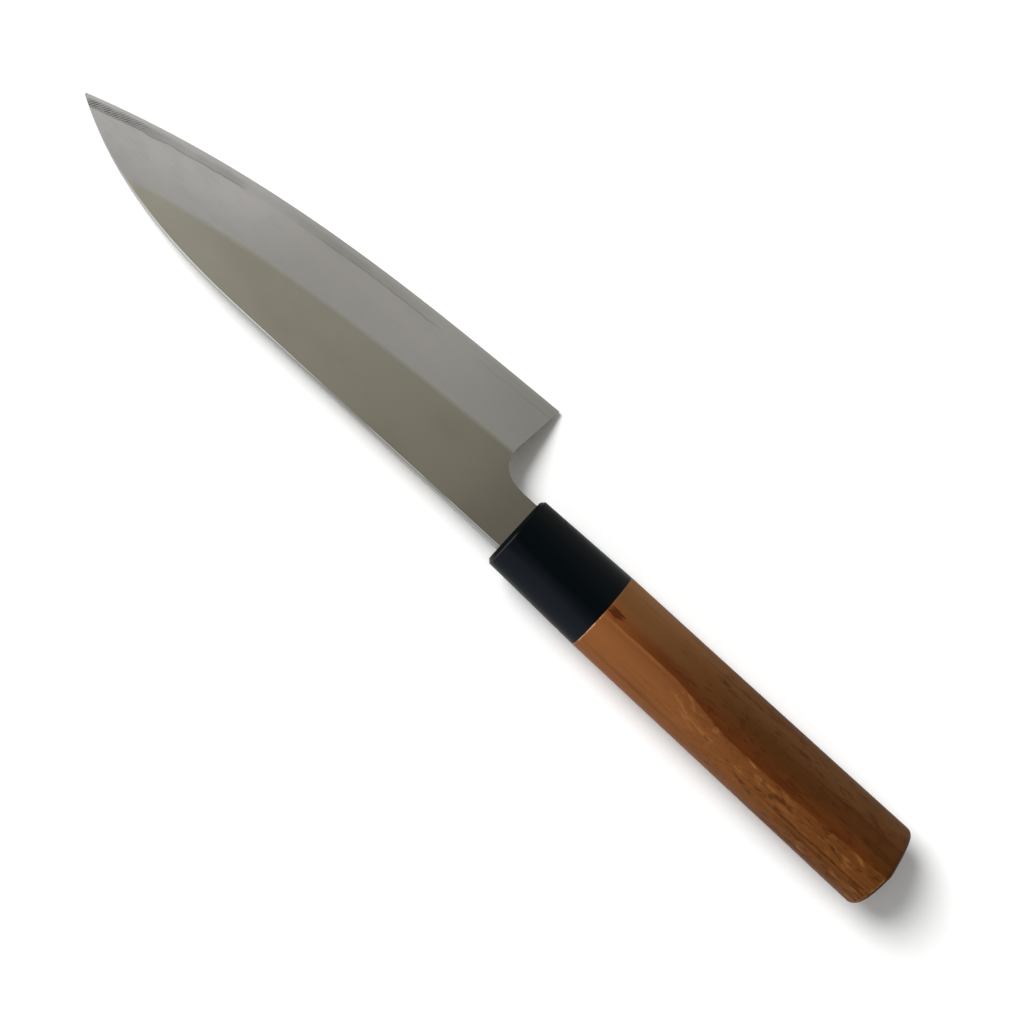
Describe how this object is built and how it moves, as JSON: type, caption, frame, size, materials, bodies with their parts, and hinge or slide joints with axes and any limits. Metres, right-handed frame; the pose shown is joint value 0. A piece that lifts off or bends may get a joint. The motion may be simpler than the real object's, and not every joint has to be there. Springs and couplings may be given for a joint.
{
  "type": "japanese kitchen knife",
  "caption": "Single-bevel Japanese kitchen knife: iron blade clad on a hard steel edge, black ferrule and a chestnut-section wooden handle.",
  "frame": {"origin": "middle of the knife's length and height in plan, at the level of the handle's lowest line", "axes": "+X from the tip to the butt, +Y from the spine to the cutting edge, +Z out of the bevelled face"},
  "size_m": [0.297, 0.0458, 0.0218],
  "materials": {
    "soft_iron": "polished flat, hazy matte bevel",
    "hard_steel": "honed",
    "black_ferrule": "satin",
    "brown_wood": "semi-gloss, oiled"
  },
  "bodies": {
    "root": {"blade_body": "soft_iron", "edge_steel": "hard_steel", "ferrule": "black_ferrule", "handle": "brown_wood"}
  },
  "joints": []
}
